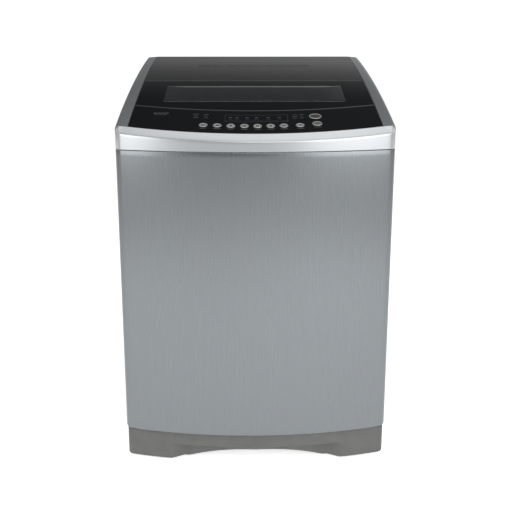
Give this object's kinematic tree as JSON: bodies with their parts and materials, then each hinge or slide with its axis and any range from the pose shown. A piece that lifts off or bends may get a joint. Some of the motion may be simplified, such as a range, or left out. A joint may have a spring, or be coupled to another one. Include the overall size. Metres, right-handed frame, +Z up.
{
  "type": "top load washing machine",
  "caption": "Upright washing machine with a bowed steel front, crowned top, folding lid over a spinning basket, push buttons and screw feet.",
  "frame": {"origin": "on the floor under the middle of the plan", "axes": "+Z up, -Y the bowed front, +X the right side seen from the front"},
  "size_m": [0.6, 0.642, 0.8975],
  "materials": {
    "steel_wrap": "fine vertical satin under clear lacquer",
    "silver_plastic": "metallic silver, satin",
    "panel_gloss": "piano black, polished",
    "smoked_window": "dark smoked, polished",
    "charcoal_plastic": "fine satin",
    "base_plastic": "fine grain",
    "button_face": "silvered ring, satin centre",
    "zinc_steel": "galvanised",
    "cast_aluminium": "as cast, dull",
    "stainless": "satin, perforated drum",
    "white_plastic": "fine grain",
    "black_rubber": "matt",
    "circuit_board": "lacquered board",
    "tub_plastic": "natural polypropylene"
  },
  "bodies": {
    "cabinet": {"plinth": "base_plastic", "cabinet_wrap": "steel_wrap", "rear_panel": "zinc_steel", "service_cover": "zinc_steel", "cord_gland": "base_plastic", "drain_spigot": "base_plastic", "inlet_valve": "white_plastic", "drain_pump": "charcoal_plastic", "top_frame": "silver_plastic", "opening_collar": "charcoal_plastic", "rear_console": "charcoal_plastic", "control_panel": "panel_gloss", "display_window": "smoked_window", "control_board": "circuit_board", "dispenser_housing": "white_plastic", "suspension_rod_front_left": "zinc_steel", "suspension_rod_front_right": "zinc_steel", "suspension_rod_back_left": "zinc_steel", "suspension_rod_back_right": "zinc_steel", "suspension_spring_front_left": "zinc_steel", "suspension_spring_front_right": "zinc_steel", "suspension_spring_back_left": "zinc_steel", "suspension_spring_back_right": "zinc_steel"},
    "lid_rear": {"lid_rear_panel": "charcoal_plastic", "lid_slot_insert": "panel_gloss", "lid_hinge_pin_left": "zinc_steel", "lid_hinge_pin_right": "zinc_steel", "lid_fold_pin": "zinc_steel"},
    "lid_front": {"lid_front_frame": "panel_gloss", "lid_window": "smoked_window"},
    "tub": {"outer_tub": "tub_plastic", "tub_cover_ring": "tub_plastic", "bearing_housing": "cast_aluminium", "motor_bracket": "zinc_steel", "motor": "zinc_steel", "drive_belt": "black_rubber"},
    "basket": {"basket": "stainless", "balance_ring": "white_plastic", "basket_hub": "cast_aluminium", "lint_filter": "white_plastic"},
    "agitator": {"pulsator": "white_plastic", "pulsator_cap": "stainless", "drive_shaft": "stainless", "drive_pulley": "cast_aluminium"},
    "motor_rotor": {"motor_pulley": "cast_aluminium"},
    "drawer": {"detergent_drawer": "white_plastic"},
    "program_button_1_cap": {"program_button_1": "button_face"},
    "program_button_2_cap": {"program_button_2": "button_face"},
    "program_button_3_cap": {"program_button_3": "button_face"},
    "program_button_4_cap": {"program_button_4": "button_face"},
    "program_button_5_cap": {"program_button_5": "button_face"},
    "program_button_6_cap": {"program_button_6": "button_face"},
    "program_button_7_cap": {"program_button_7": "button_face"},
    "program_button_8_cap": {"program_button_8": "button_face"},
    "start_button_cap": {"start_button": "button_face"},
    "power_button_cap": {"power_button": "button_face"},
    "foot_front_left": {"levelling_foot_front_left": "black_rubber"},
    "foot_front_right": {"levelling_foot_front_right": "black_rubber"},
    "foot_back_left": {"levelling_foot_back_left": "black_rubber"},
    "foot_back_right": {"levelling_foot_back_right": "black_rubber"}
  },
  "joints": [
    {"name": "basket_spin", "type": "hinge", "parent": "tub", "child": "basket", "pos_m": [0, 0.02, 0.45], "axis": [0, 0, 1], "continuous": true},
    {"name": "drawer_slide", "type": "slide", "parent": "cabinet", "child": "drawer", "axis": [0, -1, 0], "range_m": [0, 0.07]},
    {"name": "lid_hinge", "type": "hinge", "parent": "cabinet", "child": "lid_rear", "pos_m": [0, 0.248, 0.88418], "axis": [-1, 0, 0], "range_deg": [0, 80]},
    {"name": "lid_fold", "type": "hinge", "parent": "lid_rear", "child": "lid_front", "pos_m": [0, 0.02, 0.83543], "axis": [1, 0, 0], "range_deg": [0, 148]},
    {"name": "motor_spin", "type": "hinge", "parent": "tub", "child": "motor_rotor", "pos_m": [0, 0.152, 0.088], "axis": [0, 0, 1], "continuous": true},
    {"name": "press_program_button_1", "type": "slide", "parent": "cabinet", "child": "program_button_1_cap", "axis": [0, 0.2965, -0.955], "range_m": [0, 0.001], "stiffness_N_per_m": 400, "springref_m": -0.002},
    {"name": "press_program_button_2", "type": "slide", "parent": "cabinet", "child": "program_button_2_cap", "axis": [0, 0.2973, -0.9548], "range_m": [0, 0.001], "stiffness_N_per_m": 400, "springref_m": -0.002},
    {"name": "press_program_button_3", "type": "slide", "parent": "cabinet", "child": "program_button_3_cap", "axis": [0, 0.2978, -0.9546], "range_m": [0, 0.001], "stiffness_N_per_m": 400, "springref_m": -0.002},
    {"name": "press_program_button_4", "type": "slide", "parent": "cabinet", "child": "program_button_4_cap", "axis": [0, 0.2981, -0.9545], "range_m": [0, 0.001], "stiffness_N_per_m": 400, "springref_m": -0.002},
    {"name": "press_program_button_5", "type": "slide", "parent": "cabinet", "child": "program_button_5_cap", "axis": [0, 0.2982, -0.9545], "range_m": [0, 0.001], "stiffness_N_per_m": 400, "springref_m": -0.002},
    {"name": "press_program_button_6", "type": "slide", "parent": "cabinet", "child": "program_button_6_cap", "axis": [0, 0.298, -0.9546], "range_m": [0, 0.001], "stiffness_N_per_m": 400, "springref_m": -0.002},
    {"name": "press_program_button_7", "type": "slide", "parent": "cabinet", "child": "program_button_7_cap", "axis": [0, 0.2977, -0.9547], "range_m": [0, 0.001], "stiffness_N_per_m": 400, "springref_m": -0.002},
    {"name": "press_program_button_8", "type": "slide", "parent": "cabinet", "child": "program_button_8_cap", "axis": [0, 0.297, -0.9549], "range_m": [0, 0.001], "stiffness_N_per_m": 400, "springref_m": -0.002},
    {"name": "press_start_button", "type": "slide", "parent": "cabinet", "child": "start_button_cap", "axis": [0, 0.2837, -0.9589], "range_m": [0, 0.001], "stiffness_N_per_m": 400, "springref_m": -0.002},
    {"name": "press_power_button", "type": "slide", "parent": "cabinet", "child": "power_button_cap", "axis": [0, 0.2947, -0.9556], "range_m": [0, 0.001], "stiffness_N_per_m": 400, "springref_m": -0.002},
    {"name": "pulsator_spin", "type": "hinge", "parent": "tub", "child": "agitator", "pos_m": [0, 0.02, 0.2], "axis": [0, 0, 1], "continuous": true},
    {"name": "screw_front_left", "type": "hinge", "parent": "cabinet", "child": "foot_front_left", "pos_m": [-0.252, -0.25, 0.03], "axis": [0, 0, 1], "continuous": true},
    {"name": "screw_front_right", "type": "hinge", "parent": "cabinet", "child": "foot_front_right", "pos_m": [0.252, -0.25, 0.03], "axis": [0, 0, 1], "continuous": true},
    {"name": "screw_back_left", "type": "hinge", "parent": "cabinet", "child": "foot_back_left", "pos_m": [-0.252, 0.28, 0.03], "axis": [0, 0, 1], "continuous": true},
    {"name": "screw_back_right", "type": "hinge", "parent": "cabinet", "child": "foot_back_right", "pos_m": [0.252, 0.28, 0.03], "axis": [0, 0, 1], "continuous": true},
    {"name": "tub_bounce", "type": "slide", "parent": "cabinet", "child": "tub", "axis": [0, 0, 1], "range_m": [-0.02, 0.008], "stiffness_N_per_m": 15000, "springref_m": 0.02003, "deforming": ["suspension_spring_front_left", "suspension_spring_front_right", "suspension_spring_back_left", "suspension_spring_back_right"]}
  ],
  "couplings": [
    {"joint": "lid_fold", "follows": "lid_hinge", "ratio": 1.85},
    {"joint": "motor_spin", "follows": "pulsator_spin", "ratio": 2.6786}
  ]
}
